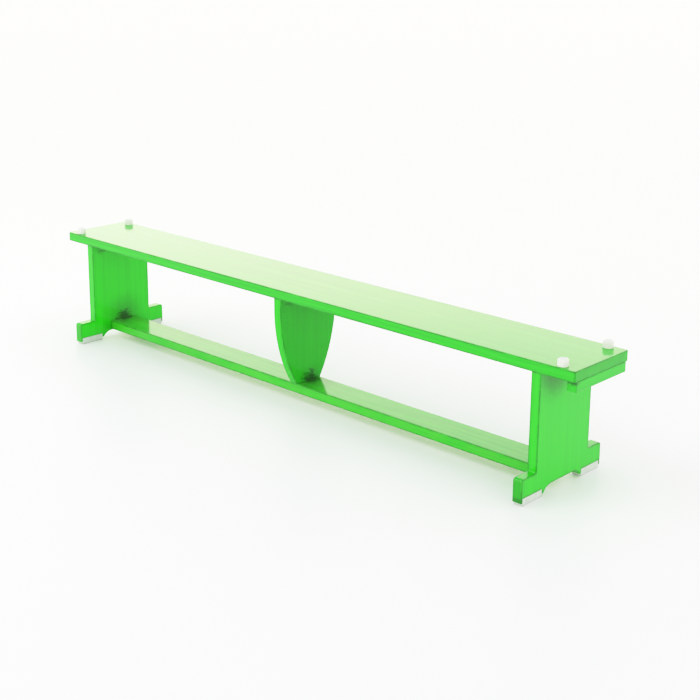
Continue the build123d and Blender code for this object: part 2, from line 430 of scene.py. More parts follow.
def wood_pattern():
    """The node group of sawn wood.  Its X axis runs along the grain and its lengths are in metres."""
    name = "Sawn wood"
    if name in bpy.data.node_groups:
        return bpy.data.node_groups[name]
    tree = bpy.data.node_groups.new(name, "ShaderNodeTree")
    interface = tree.interface
    for vector in ("Point", "Heart"):
        interface.new_socket(vector, in_out="INPUT", socket_type="NodeSocketVector")
    for number in ("Ring Width", "Stave Width", "Seed"):
        interface.new_socket(number, in_out="INPUT", socket_type="NodeSocketFloat")
    for number in ("Tone", "Relief"):
        interface.new_socket(number, in_out="OUTPUT", socket_type="NodeSocketFloat")
    given = add_node(tree, "NodeGroupInput").outputs

    # Each stave is a strip across Y with a tone and a stretch of grain of its own
    across = component(tree, given["Point"], "Y")
    stave = calculate(tree, "FLOOR", calculate(tree, "DIVIDE", across, given["Stave Width"]))
    stave_seed = calculate(tree, "ADD", stave, given["Seed"])
    stave_random = result(tree, "ShaderNodeTexWhiteNoise", {"W": stave_seed}, noise_dimensions="1D")
    slide = calculate(tree, "MULTIPLY", stave_random, STAVE_SLIDE)
    lift = calculate(tree, "MULTIPLY", stave_random, STAVE_LIFT)
    point = calculate_vector(tree, "ADD", given["Point"], combine(tree, slide, 0.0, lift))

    # Growth rings about the heart, wavering along the board
    stretched = calculate_vector(tree, "MULTIPLY", point, WAVER_REPEATS)
    noise = add_node(tree, "ShaderNodeTexNoise", {"Vector": stretched, "Scale": 1.0, "Detail": 2.0})
    waver = calculate_vector(tree, "MULTIPLY", noise.outputs["Color"], WAVER_REACH)
    wavering = calculate_vector(tree, "ADD", point, waver)
    from_heart = calculate_vector(tree, "SUBTRACT", wavering, given["Heart"])
    flattened = calculate_vector(tree, "MULTIPLY", from_heart, (0.0, 1.0, 1.0))
    radius = calculate_vector(tree, "LENGTH", flattened)
    season = calculate(tree, "FRACT", calculate(tree, "DIVIDE", radius, given["Ring Width"]))
    rise = ramp(tree, season, LATE_WOOD_STARTS, LATE_WOOD_PEAKS)
    fall = ramp(tree, season, 1.0, LATE_WOOD_ENDS)
    late_wood = calculate(tree, "MULTIPLY", rise, fall)

    # Broad streaks and fine fibres along the grain
    streaks = speckle(tree, point, STREAK_REPEATS, detail=3.0, roughness=0.6)
    fibres = speckle(tree, point, FIBRE_REPEATS, detail=3.0, roughness=0.65)

    tone = calculate(tree, "MULTIPLY_ADD", streaks, STREAK_SHARE, BASE_TONE)
    tone = calculate(tree, "SUBTRACT", tone, FIBRE_SHARE / 2)
    tone = calculate(tree, "MULTIPLY_ADD", fibres, FIBRE_SHARE, tone)
    tone = calculate(tree, "MULTIPLY_ADD", late_wood, LATE_WOOD_SHARE, tone)
    tone = calculate(tree, "MULTIPLY_ADD", stave_random, STAVE_SHARE, tone, clamp=True)
    height = calculate(tree, "MULTIPLY", fibres, RAISED_FIBRES)
    height = calculate(tree, "MULTIPLY_ADD", late_wood, RAISED_LATE_WOOD, height)
    add_node(tree, "NodeGroupOutput", {"Tone": tone, "Relief": height})
    return tree


def sawn_wood(tree, node, lacquer, seed):
    """Tone and relief of the wood pattern, laid along one board's grain."""
    board = BOARDS[node]
    place = {"Vector": object_point(tree), "Location": centre(node), "Rotation": board.grain}
    inputs = {
        "Point": result(tree, "ShaderNodeMapping", place, vector_type="TEXTURE"),
        "Heart": board.heart,
        "Ring Width": lacquer.ring_width,
        "Stave Width": lacquer.stave_width,
        "Seed": seed,
    }
    pattern = add_node(tree, "ShaderNodeGroup", inputs, node_tree=wood_pattern())
    return pattern.outputs["Tone"], pattern.outputs["Relief"]


# Gathered stain and painted shade


class Spread(NamedTuple):
    """How a dark patch spreads around a place.  Patches on end grain are gathered stain; those in
    corners and under the seat are painted shade and shadow.
    """

    reach: tuple  # how far it spreads along each axis
    strength: float  # how much of the dark colour it lays on
    ragged: float = 1.3  # how uneven its border is


SOFT_BORDER = 0.3
# Painted shade on the uprights in the corners just above the rail, with a softer halo
JOINT_SHADE = Spread((0.025, 0.054, 0.052), 1.0)
JOINT_SHADE_HALO = Spread((0.030, 0.110, 0.110), 0.40, SOFT_BORDER)
# Painted shade on the rail's top in the same corners, with a softer halo
RAIL_SHADE = Spread((0.045, 0.050, 0.020), 0.9)
RAIL_SHADE_HALO = Spread((0.120, 0.110, 0.040), 0.25, SOFT_BORDER)
# Painted shade on the uprights just under the seat, near the front
UNDER_SEAT_SHADE = Spread((0.020, 0.032, 0.020), 0.55)
# Painted shadow from the seat on the right end frame's outer face
UNDER_SEAT_SHADOW = Spread((0.020, 0.095, 0.110), 0.50, SOFT_BORDER)
# Darkens the centre support's right face towards its middle
SUPPORT_FACE_SPREAD = Spread((0.014, 0.3, 0.5), 0.31)
# Painted shadow under the seat's front edge, on the hook batten's top
BATTEN_SHADOW = Spread((0.040, 0.020, 0.014), 0.90)
END_GRAIN_SPREAD = Spread((0.006, 0.3, 0.2), 0.28)
FOOT_END_SPREAD = Spread((0.030, 0.006, 0.080), 0.40)

# Where the painted shade and shadow, and the stain on the foot ends, lie off the middle of a board,
# behind it or in front of it
JOINT_OFFSET = 0.006
UNDER_SEAT_OFFSET = -0.076
UNDER_SEAT_DROP = 0.016
HALO_OFFSET = -0.048
FOOT_END_HEIGHT = 0.04

RAGGED_REPEATS = (120.0, 55.0, 190.0)
PATCH_FULL, PATCH_GONE = 0.25, 0.95


def spread_share(tree, place, spread):
    """1 around a place and 0 beyond its spread."""
    point = object_point(tree)
    offset = calculate_vector(tree, "SUBTRACT", point, place)
    distance = calculate_vector(tree, "LENGTH", calculate_vector(tree, "DIVIDE", offset, spread.reach))
    border_noise = speckle(tree, point, RAGGED_REPEATS, detail=4.0, roughness=0.6)
    ragged = calculate(tree, "MULTIPLY_ADD", border_noise, spread.ragged, distance)
    mean = spread.ragged / 2
    return ramp(tree, ragged, PATCH_GONE + mean, PATCH_FULL + mean)


def dark_patch_places():
    """For each board, its dark patches and how each spreads: painted shade at the rail joints and under
    the seat, painted shadow under the seat's edge, a darker middle on the centre support's face, and
    stain gathered on end grain.
    """
    rail_low, rail_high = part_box("balance_rail")
    seat_low, seat_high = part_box("seat_plank")
    support_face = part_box("centre_support")[1].x
    dark_patches = {node: [] for node in BOARDS}
    # Painted shade in the corners where the rail meets the uprights, on both faces, and under the seat
    # near the front
    for node, face in (("end_frame_left", rail_low.x), ("centre_support", support_face)):
        joint = Vector((face, JOINT_OFFSET, rail_high.z))
        under_seat = Vector((face, UNDER_SEAT_OFFSET, seat_low.z - UNDER_SEAT_DROP))
        dark_patches[node] += [(joint, JOINT_SHADE), (joint, JOINT_SHADE_HALO), (under_seat, UNDER_SEAT_SHADE)]
        dark_patches["balance_rail"] += [(joint, RAIL_SHADE), (joint, RAIL_SHADE_HALO)]
    # The centre support's right face, darker towards its middle
    support_middle = centre("centre_support")
    support_middle.x = support_face
    dark_patches["centre_support"].append((support_middle, SUPPORT_FACE_SPREAD))
    # Painted shadow under the seat on the right end frame's outer face
    right_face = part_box("end_frame_right")[1].x
    under_seat = Vector((right_face, HALO_OFFSET, seat_low.z))
    dark_patches["end_frame_right"].append((under_seat, UNDER_SEAT_SHADOW))
    # Painted shadow under the seat's front edge, on the hook batten
    batten_low, batten_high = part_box("hook_batten")
    batten_joint = Vector((centre("hook_batten").x, batten_low.y, batten_high.z))
    dark_patches["hook_batten"].append((batten_joint, BATTEN_SHADOW))
    for seat_end in (seat_low.x, seat_high.x):
        end_grain = Vector((seat_end, 0.0, centre("seat_plank").z))
        dark_patches["seat_plank"].append((end_grain, END_GRAIN_SPREAD))
    for node in FRAME_NODES:
        low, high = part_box(node)
        for y in (low.y, high.y):
            foot_end = Vector((centre(node).x, y, FOOT_END_HEIGHT))
            dark_patches[node].append((foot_end, FOOT_END_SPREAD))
    return dark_patches


# Stained boards

EDGE_SAMPLES = 8
FLAT_DEPTH, EDGE_DEPTH = 0.97, 0.66
PATCH_SPAN = (0.3, 0.6)
BLOTCH_REPEATS = 38.0
LEAST_BLOTCH = 0.45
SCUFF_REPEATS = (9.0, 40.0, 40.0)
LEAST_SCUFF = 0.4
RIPPLE_REPEATS = 55.0
GRAIN_DEPTH = 0.00012
RIPPLE_DEPTH = 0.00015
SEED_STEP = 10.0


def edge_line(tree, width):
    """1 along the rounded edges of a board and 0 on its flats."""
    settings = {"samples": EDGE_SAMPLES, "inside": True, "only_local": True}
    depth = add_node(tree, "ShaderNodeAmbientOcclusion", {"Distance": width}, **settings)
    return ramp(tree, depth.outputs["AO"], FLAT_DEPTH, EDGE_DEPTH)


def stained_wood(node, lacquer, seed, dark_patches):
    """Green stain under gloss lacquer on one board.  Dark patches are the places where stain has
    gathered, and where shade and shadow are painted in.
    """
    board = BOARDS[node]
    material, tree, shader = new_material(f"stained_wood_{node}")
    point = object_point(tree)
    tone, height = sawn_wood(tree, node, lacquer, seed)
    tone = calculate(tree, "ADD", tone, board.paleness, clamp=True)
    colour = blend_colours(tree, tone, rgba(lacquer.deep_stain), rgba(lacquer.stain))
    if board.wear:
        scuffs = speckle(tree, point, SCUFF_REPEATS)
        rubbed = ramp(tree, scuffs, *PATCH_SPAN, LEAST_SCUFF * board.wear, board.wear)
        colour = blend_colours(tree, rubbed, colour, rgba(lacquer.worn_stain))
    uneven = ramp(tree, speckle(tree, point, BLOTCH_REPEATS), *PATCH_SPAN, LEAST_BLOTCH)
    line = calculate(tree, "MULTIPLY", edge_line(tree, lacquer.edge_width), uneven)
    dark = calculate(tree, "MULTIPLY", line, lacquer.edge_strength * board.edge_share)
    # Gathered stain and painted shade and shadow, all laid on in the pooled colour
    for place, spread in dark_patches:
        patch_share = calculate(tree, "MULTIPLY", spread_share(tree, place, spread), spread.strength)
        dark = calculate(tree, "MAXIMUM", dark, patch_share)
    colour = blend_colours(tree, dark, colour, rgba(lacquer.pooled_stain_and_shade))
    surface = {
        "Base Color": colour,
        "Roughness": 0.5,
        "Specular IOR Level": 0.05,
        "Normal": relief(tree, height, GRAIN_DEPTH),
        "Coat Weight": board.coat,
        "Coat Roughness": lacquer.gloss_roughness,
        "Coat IOR": 1.39,
        "Coat Normal": relief(tree, speckle(tree, point, RIPPLE_REPEATS), RIPPLE_DEPTH),
    }
    fill_inputs(tree, shader, surface)
    return material


def finish_boards(lacquer):
    """Stains each board along its own grain."""
    dark_patches = dark_patch_places()
    for number, node in enumerate(BOARDS):
        material = stained_wood(node, lacquer, number * SEED_STEP, dark_patches[node])
        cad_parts[node].data.materials[0] = material


class BENCH_OT_stain_boards(bpy.types.Operator):
    """Stain and lacquer the boards of the bench"""

    bl_idname = "bench.stain_boards"
    bl_label = "Stain Boards"

    def execute(self, context):
        finish_boards(context.scene.bench_lacquer)
        return {"FINISHED"}


# Foot pads

PAD_PALE = (0.50, 0.56, 0.54)
PAD_DARK = (0.40, 0.455, 0.44)
PAD_BOTTOM_BAND = (0.24, 0.27, 0.265)
CLOUD_REPEATS = 60.0
GRIT_REPEATS = 1400.0
GRIT_SHARE = 0.35
GRIT_DEPTH = 0.0001
PAD_SPAN = (0.2, 0.8)
PAD_ROUGHNESS = (0.5, 0.68)
PAD_BAND_HEIGHT = 0.006
PAD_BAND_STRENGTH = 0.9


def pale_rubber():
    """Matt, pale grey rubber, a little darker where it meets the floor."""
    material, tree, shader = new_material("pale_pad_rubber")
    point = object_point(tree)
    cloud = speckle(tree, point, CLOUD_REPEATS, detail=4.0)
    grit = speckle(tree, point, GRIT_REPEATS)
    mottle = calculate(tree, "MULTIPLY", cloud, 1.0 - GRIT_SHARE)
    mottle = calculate(tree, "MULTIPLY_ADD", grit, GRIT_SHARE, mottle)
    colour = blend_colours(tree, ramp(tree, mottle, *MOST_NOISE), rgba(PAD_DARK), rgba(PAD_PALE))
    # Darker towards the bottom, within a few millimetres of the floor
    height = component(tree, point, "Z")
    low = ramp(tree, height, PAD_BAND_HEIGHT, 0.0)
    uneven = calculate(tree, "MULTIPLY", cloud, PAD_BAND_STRENGTH)
    bottom_band = calculate(tree, "MULTIPLY", low, uneven)
    surface = {
        "Base Color": blend_colours(tree, bottom_band, colour, rgba(PAD_BOTTOM_BAND)),
        "Roughness": ramp(tree, mottle, *PAD_SPAN, *PAD_ROUGHNESS),
        "Normal": relief(tree, grit, GRIT_DEPTH),
    }
    fill_inputs(tree, shader, surface)
    return material


class BENCH_OT_finish_pads(bpy.types.Operator):
    """Give the foot pads their rubber"""

    bl_idname = "bench.finish_pads"
    bl_label = "Finish Foot Pads"

    def execute(self, context):
        material = pale_rubber()
        for node in PAD_NODES:
            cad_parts[node].data.materials[0] = material
        return {"FINISHED"}


# Geometry node helpers

# Radius of the ring that an outline is swept along to turn a solid
RING_RADIUS = MILLIMETRE
ROUNDING_SEGMENTS = 6
WELD_DISTANCE = 0.01 * MILLIMETRE
SHARP_ANGLE = math.radians(35)


def new_geometry_tree(name, sizes):
    """An empty geometry tree with a named input for each size, and the sockets of those inputs.

    A size that is a whole number makes a whole-number input."""
    tree = bpy.data.node_groups.new(name, "GeometryNodeTree")
    tree.interface.new_socket("Places", in_out="INPUT", socket_type="NodeSocketGeometry")
    for size, value in sizes.items():
        kind = "NodeSocketInt" if isinstance(value, int) else "NodeSocketFloat"
        socket = tree.interface.new_socket(size, in_out="INPUT", socket_type=kind)
        socket.default_value = value
    tree.interface.new_socket("Turn", in_out="INPUT", socket_type="NodeSocketRotation")
    tree.interface.new_socket("Material", in_out="INPUT", socket_type="NodeSocketMaterial")
    tree.interface.new_socket("Pieces", in_out="OUTPUT", socket_type="NodeSocketGeometry")
    return tree, add_node(tree, "NodeGroupInput").outputs


def half(tree, value):
    """Half of a value."""
    return calculate(tree, "MULTIPLY", value, 0.5)


def negative(tree, value):
    """A value with its sign changed."""
    return calculate(tree, "MULTIPLY", value, -1.0)


def index_choice(tree, kind, choices):
    """A field that gives the first choice at index 0, the second at index 1 and so on."""
    made = add_node(tree, "GeometryNodeIndexSwitch", data_type=kind)
    while len(made.index_switch_items) < len(choices):
        made.index_switch_items.new()
    index = result(tree, "GeometryNodeInputIndex")
    fill_inputs(tree, made, {"Index": index, **dict(enumerate(choices, 1))})
    return made.outputs[0]


def line_through(tree, places):
    """A mesh line with a point at each place."""
    line = result(tree, "GeometryNodeMeshLine", {"Count": len(places)})
    position = index_choice(tree, "VECTOR", places)
    return result(tree, "GeometryNodeSetPosition", {"Geometry": line, "Position": position})


def turned_outline(tree, corners, closed):
    """A curve through corners, each given as a radius, a height and the radius of its rounding.

    The corners run up the outside of the solid, and the curve runs back down it, which turns the
    solid's faces outwards.  The curve is drawn for the sweep along the ring: its X is measured from
    the ring and its Y downwards."""
    places = []
    roundings = []
    for radius, height, rounding in reversed(corners):
        across = calculate(tree, "SUBTRACT", radius, RING_RADIUS)
        places.append(combine(tree, across, negative(tree, height), 0.0))
        roundings.append(rounding)
    value = index_choice(tree, "FLOAT", roundings)
    stored = {"Geometry": line_through(tree, places), "Name": "rounding", "Value": value}
    line = result(tree, "GeometryNodeStoreNamedAttribute", stored)
    curve = result(tree, "GeometryNodeMeshToCurve", {"Mesh": line})
    curve = result(tree, "GeometryNodeSetSplineCyclic", {"Geometry": curve, "Cyclic": closed})
    radius = result(tree, "GeometryNodeInputNamedAttribute", {"Name": "rounding"})
    fillet = {"Curve": curve, "Count": ROUNDING_SEGMENTS, "Radius": radius, "Limit Radius": True}
    return result(tree, "GeometryNodeFilletCurve", fillet, mode="POLY")


def turn_about_axis(tree, outline, segments):
    """The solid made by turning an outline about the Z axis, with each point's radius kept."""
    circle = {"Resolution": segments, "Radius": RING_RADIUS}
    ring = result(tree, "GeometryNodeCurvePrimitiveCircle", circle)
    solid = result(tree, "GeometryNodeCurveToMesh", {"Curve": ring, "Profile Curve": outline})
    weld = {"Geometry": solid, "Distance": WELD_DISTANCE}
    solid = result(tree, "GeometryNodeMergeByDistance", weld)
    position = result(tree, "GeometryNodeInputPosition")
    flat = calculate_vector(tree, "MULTIPLY", position, (1.0, 1.0, 0.0))
    radius = calculate_vector(tree, "LENGTH", flat)
    stored = {"Geometry": solid, "Name": "turned_radius", "Value": radius}
    return result(tree, "GeometryNodeStoreNamedAttribute", stored)


def join(tree, first, second):
    """Two meshes as one."""
    made = add_node(tree, "GeometryNodeJoinGeometry", {0: first})
    tree.links.new(second, made.inputs[0])
    return made.outputs[0]


def shade_by_angle(tree, solid):
    """Smooth shading that keeps the sharp edges."""
    angle = add_node(tree, "GeometryNodeInputMeshEdgeAngle").outputs["Unsigned Angle"]
    sharp = result(tree, "FunctionNodeCompare", {0: angle, 1: SHARP_ANGLE}, operation="GREATER_THAN")
    faces = {"Geometry": solid, "Shade Smooth": True}
    smooth = result(tree, "GeometryNodeSetShadeSmooth", faces, domain="FACE")
    edges = {"Geometry": smooth, "Selection": sharp, "Shade Smooth": False}
    return result(tree, "GeometryNodeSetShadeSmooth", edges, domain="EDGE")


def place_copies(tree, given, solid):
    """Ends a tree: a real copy of the solid on each place, with the material."""
    shaded = shade_by_angle(tree, solid)
    copies = {"Points": given["Places"], "Instance": shaded, "Rotation": given["Turn"]}
    placed = result(tree, "GeometryNodeInstanceOnPoints", copies)
    real = result(tree, "GeometryNodeRealizeInstances", {"Geometry": placed})
    real = result(tree, "GeometryNodeSetMaterial", {"Geometry": real, "Material": given["Material"]})
    add_node(tree, "NodeGroupOutput", {"Pieces": real})
    return tree


def make_piece(name, tree, sizes, places, turn, material, nodes):
    """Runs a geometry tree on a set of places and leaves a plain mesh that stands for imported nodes."""
    points = bpy.data.meshes.new(f"{name}_places")
    points.from_pydata([tuple(place) for place in places], [], [])
    piece = bpy.data.objects.new(name, points)
    bpy.context.scene.collection.objects.link(piece)
    modifier = piece.modifiers.new("Geometry", "NODES")
    modifier.node_group = tree
    values = {**sizes, "Turn": turn, "Material": material}
    for item in tree.interface.items_tree:
        if item.in_out == "INPUT" and item.name in values:
            modifier[item.identifier] = values[item.name]
    evaluated = piece.evaluated_get(bpy.context.evaluated_depsgraph_get())
    mesh = bpy.data.meshes.new_from_object(evaluated)
    piece.modifiers.clear()
    piece.data = mesh
    mesh.name = name
    bpy.data.meshes.remove(points)
    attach(piece, BODY)
    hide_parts(*nodes)


# Buffers and their washers

BUFFER_SEGMENTS = 48
WASHER_SEGMENTS = 32
FOOT_ROUNDING = 0.6 * MILLIMETRE
RIM_ROUNDING = 0.8 * MILLIMETRE
STEP_ROUNDING = 0.4 * MILLIMETRE
CAP_GAP = 0.1 * MILLIMETRE
CAP_SINK = 0.5 * MILLIMETRE
CAP_ROUNDING = 0.5 * MILLIMETRE
WASHER_OUTER_ROUNDING = 0.25 * MILLIMETRE
WASHER_HOLE_ROUNDING = 0.1 * MILLIMETRE

BUFFER_SHADED = (0.56, 0.61, 0.56)
BUFFER_WHITE = (0.66, 0.70, 0.66)
RECESS_SHADE_COLOUR = (0.48, 0.51, 0.50)
RECESS_SHADE = 0.3
MILKY_REPEATS = 130.0
MILKY_ROUGHNESS = (0.26, 0.36)
BUFFER_GRAIN_REPEATS = 500.0
BUFFER_GRAIN_DEPTH = 0.00006

DULL_ZINC = (0.52, 0.53, 0.55)
BRIGHT_ZINC = (0.74, 0.75, 0.76)
ZINC_REPEATS = 350.0
SCRATCH_REPEATS = (900.0, 900.0, 4000.0)
SCRATCH_SPAN = (0.25, 0.75)
SCRATCH_DEPTH = 0.00003
ZINC_ROUGHNESS = (0.22, 0.42)


def buffer_tree(sizes):
    """A turned buffer with a drafted side, a rounded crown and a stepped hole for its screw, and the
    cap that hides the screw."""
    tree, given = new_geometry_tree("Buffer", sizes)
    foot = half(tree, given["Diameter"])
    top = calculate(tree, "SUBTRACT", foot, given["Draft"])
    recess = half(tree, given["Recess Diameter"])
    step = calculate(tree, "SUBTRACT", given["Height"], given["Recess Depth"])
    hole = half(tree, given["Hole Diameter"])
    height = given["Height"]
    corners = [
        (hole, 0.0, 0.0),
        (foot, 0.0, FOOT_ROUNDING),
        (top, height, given["Crown Radius"]),
        (recess, height, RIM_ROUNDING),
        (recess, step, STEP_ROUNDING),
        (hole, step, 0.0),
    ]
    body = turn_about_axis(tree, turned_outline(tree, corners, True), BUFFER_SEGMENTS)
    rim = calculate(tree, "SUBTRACT", recess, CAP_GAP)
    cap_top = calculate(tree, "SUBTRACT", height, CAP_SINK)
    cap_foot = calculate(tree, "SUBTRACT", cap_top, given["Cap Thickness"])
    corners = [
        (0.0, cap_foot, 0.0),
        (rim, cap_foot, 0.0),
        (rim, cap_top, CAP_ROUNDING),
        (0.0, cap_top, 0.0),
    ]
    cap = turn_about_axis(tree, turned_outline(tree, corners, False), WASHER_SEGMENTS)
    return place_copies(tree, given, join(tree, body, cap))


def washer_tree(sizes):
    """A flat washer with its edges broken."""
    tree, given = new_geometry_tree("Washer", sizes)
    outer = half(tree, given["Diameter"])
    hole = half(tree, given["Hole Diameter"])
    corners = [
        (hole, 0.0, WASHER_HOLE_ROUNDING),
        (outer, 0.0, WASHER_OUTER_ROUNDING),
        (outer, given["Thickness"], WASHER_OUTER_ROUNDING),
        (hole, given["Thickness"], WASHER_HOLE_ROUNDING),
    ]
    solid = turn_about_axis(tree, turned_outline(tree, corners, True), WASHER_SEGMENTS)
    return place_copies(tree, given, solid)


def milky_plastic(recess_radius):
    """Smooth, slightly translucent white, with painted shade about the recess and on the cap's edge."""
    material, tree, shader = new_material("white_buffer")
    point = object_point(tree)
    cloud = speckle(tree, point, MILKY_REPEATS, detail=3.0)
    colour = blend_colours(tree, cloud, rgba(BUFFER_SHADED), rgba(BUFFER_WHITE))
    # Painted shade in a ring about the recess: on the buffer's top and on the cap's edge
    radius = add_node(tree, "ShaderNodeAttribute", attribute_name="turned_radius").outputs["Fac"]
    outside, inside = recess_radius + MILLIMETRE, recess_radius - MILLIMETRE
    shade = ramp(tree, radius, outside, inside, 0.0, RECESS_SHADE)
    grain = speckle(tree, point, BUFFER_GRAIN_REPEATS)
    surface = {
        "Base Color": blend_colours(tree, shade, colour, rgba(RECESS_SHADE_COLOUR)),
        "Roughness": ramp(tree, cloud, *MOST_NOISE, *MILKY_ROUGHNESS),
        "Normal": relief(tree, grain, BUFFER_GRAIN_DEPTH),
        "Subsurface Weight": 0.35,
        "Subsurface Radius": (0.6, 0.7, 0.6),
        "Subsurface Scale": 0.006,
    }
    fill_inputs(tree, shader, surface)
    return material


def bright_zinc():
    """Zinc-plated steel with a fine brushed variation."""
    material, tree, shader = new_material("screw_steel")
    point = object_point(tree)
    cloud = speckle(tree, point, ZINC_REPEATS, detail=3.0)
    scratches = speckle(tree, point, SCRATCH_REPEATS)
    surface = {
        "Base Color": blend_colours(tree, cloud, rgba(DULL_ZINC), rgba(BRIGHT_ZINC)),
        "Metallic": 1.0,
        "Roughness": ramp(tree, scratches, *SCRATCH_SPAN, *ZINC_ROUGHNESS),
        "Normal": relief(tree, scratches, SCRATCH_DEPTH),
    }
    fill_inputs(tree, shader, surface)
    return material


def zinc_material():
    """The one zinc material, made the first time it is asked for."""
    return bpy.data.materials.get("screw_steel") or bright_zinc()


def make_zinc_piece(name, tree, sizes, places, turn, node):
    """Makes a piece of zinc-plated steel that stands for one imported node."""
    make_piece(name, tree, sizes, places, turn, zinc_material(), [node])


class BENCH_OT_make_buffers(bpy.types.Operator):
    """Make the four buffers on the seat and the washers in them"""

    bl_idname = "bench.make_buffers"
    bl_label = "Make Buffers"

    def execute(self, context):
        buffers = context.scene.bench_buffers
        seat_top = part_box("seat_plank")[1].z
        feet = [Vector((*centre(node).xy, seat_top)) for node in BUFFER_NODES]
        sizes = {
            "Diameter": buffers.diameter,
            "Height": buffers.height,
            "Draft": buffers.draft,
            "Crown Radius": buffers.crown_radius,
            "Recess Diameter": buffers.recess_diameter,
            "Recess Depth": buffers.recess_depth,
            "Hole Diameter": buffers.hole_diameter,
            "Cap Thickness": buffers.cap_thickness,
        }
        plastic = milky_plastic(buffers.recess_diameter / 2)
        tree = buffer_tree(sizes)
        make_piece("buffers", tree, sizes, feet, ALONG_X, plastic, BUFFER_NODES)
        low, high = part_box("buffer_washers")
        places = [Vector((foot.x, foot.y, low.z)) for foot in feet]
        sizes = {
            "Diameter": buffers.washer_diameter,
            "Hole Diameter": buffers.hole_diameter,
            "Thickness": high.z - low.z,
        }
        make_zinc_piece("washers", washer_tree(sizes), sizes, places, ALONG_X, "buffer_washers")
        return {"FINISHED"}


# Screws

UPSIDE_DOWN = (math.pi, 0, 0)
SCREW_SEGMENTS = 24
THREAD_STEPS = 16
THREAD_SIDES = 3
BATTEN_SCREW_COUNT = 4

# Depth of the cross recess, and a turn that keeps its corners off the edges of the head's facets
CROSS_DEPTH = 1.5 * MILLIMETRE
CROSS_TURN = (0.0, 0.0, math.radians(20))

# Sizes of a screw as shares of its length, of its head's diameter or of its head's height
PLAIN_SHARE = 0.35
CROSS_LENGTH_SHARE = 0.55
CROSS_WIDTH_SHARE = 0.14
PAN_ROUNDING_SHARE = 0.4


def screw_thread(tree, given):
    """The thread: a ridge that winds down the shank and narrows with the tip."""
    reach = calculate(tree, "SUBTRACT", given["Length"], given["Thread Start"])
    spiral = {
        "Resolution": THREAD_STEPS,
        "Rotations": calculate(tree, "DIVIDE", reach, given["Thread Pitch"]),
        "Start Radius": 1.0,
        "End Radius": 1.0,
        "Height": reach,
    }
    path = result(tree, "GeometryNodeCurveSpiral", spiral)
    position = result(tree, "GeometryNodeInputPosition")
    place = add_node(tree, "ShaderNodeSeparateXYZ", {0: position}).outputs
    taper = calculate(tree, "DIVIDE", place["Z"], given["Tip Length"], clamp=True)
    radius = calculate(tree, "MULTIPLY", half(tree, given["Shank Diameter"]), taper)
    wound = combine(
        tree,
        calculate(tree, "MULTIPLY", place["X"], radius),
        calculate(tree, "MULTIPLY", place["Y"], radius),
        calculate(tree, "SUBTRACT", place["Z"], given["Length"]),
    )
    path = result(tree, "GeometryNodeSetPosition", {"Geometry": path, "Position": wound})
    path = result(tree, "GeometryNodeSetCurveNormal", {"Curve": path}, mode="Z_UP")
    section = {"Resolution": THREAD_SIDES, "Radius": given["Thread Height"]}
    ridge = result(tree, "GeometryNodeCurvePrimitiveCircle", section)
    swept = {"Curve": path, "Profile Curve": ridge, "Fill Caps": True}
    return result(tree, "GeometryNodeCurveToMesh", swept)


def screw_tree(name, sizes):
    """A wood screw with its head upwards.  Its origin is level with the underside of a pan head, or
    with the face of a countersunk one."""
    tree, given = new_geometry_tree(name, sizes)
    head = half(tree, given["Head Diameter"])
    under = half(tree, given["Under Head Diameter"])
    shank = half(tree, given["Shank Diameter"])
    end = negative(tree, given["Length"])
    shoulder = calculate(tree, "ADD", end, given["Tip Length"])
    corners = [
        (0.0, end, 0.0),
        (shank, shoulder, 0.0),
        (shank, given["Head Underside"], 0.0),
        (under, given["Head Underside"], 0.0),
        (head, given["Head Top"], given["Head Rounding"]),
        (0.0, given["Head Top"], 0.0),
    ]
    solid = turn_about_axis(tree, turned_outline(tree, corners, False), SCREW_SEGMENTS)
    middle = combine(tree, 0.0, 0.0, given["Head Top"])
    slot_height = calculate(tree, "MULTIPLY", given["Cross Depth"], 2.0)
    for length, width in (("Cross Length", "Cross Width"), ("Cross Width", "Cross Length")):
        size = combine(tree, given[length], given[width], slot_height)
        cube = result(tree, "GeometryNodeMeshCube", {"Size": size})
        placed = {"Geometry": cube, "Translation": middle, "Rotation": CROSS_TURN}
        slot = result(tree, "GeometryNodeTransform", placed)
        cut = {"Mesh 1": solid, "Mesh 2": slot}
        settings = {"operation": "DIFFERENCE", "solver": "EXACT"}
        solid = result(tree, "GeometryNodeMeshBoolean", cut, **settings)
    return place_copies(tree, given, join(tree, solid, screw_thread(tree, given)))


def screw_sizes(fixings, length):
    """Sizes of a countersunk screw of one length."""
    return {
        "Length": length,
        "Head Diameter": fixings.head_diameter,
        "Under Head Diameter": fixings.shank_diameter,
        "Head Top": 0.0,
        "Head Underside": -fixings.head_height,
        "Head Rounding": 0.0,
        "Shank Diameter": fixings.shank_diameter,
        "Tip Length": fixings.tip_length,
        "Thread Height": fixings.thread_height,
        "Thread Pitch": fixings.thread_pitch,
        "Thread Start": PLAIN_SHARE * length,
        "Cross Length": CROSS_LENGTH_SHARE * fixings.head_diameter,
        "Cross Width": CROSS_WIDTH_SHARE * fixings.head_diameter,
        "Cross Depth": CROSS_DEPTH,
    }


def make_threaded(node, sizes, places, turn):
    """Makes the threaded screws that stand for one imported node."""
    tree = screw_tree(f"Threaded {node}", sizes)
    make_zinc_piece(f"{node}_threaded", tree, sizes, places, turn, node)


def make_batten_screws(fixings):
    """Makes the row of screws under the hook batten."""
    low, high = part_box("batten_screws")
    inset = fixings.head_diameter / 2
    middle = (low.x + high.x) / 2
    ends = [Vector((middle, y, low.z)) for y in (low.y + inset, high.y - inset)]
    places = row(*ends, BATTEN_SCREW_COUNT)
    sizes = screw_sizes(fixings, high.z - low.z)
    make_threaded("batten_screws", sizes, places, UPSIDE_DOWN)


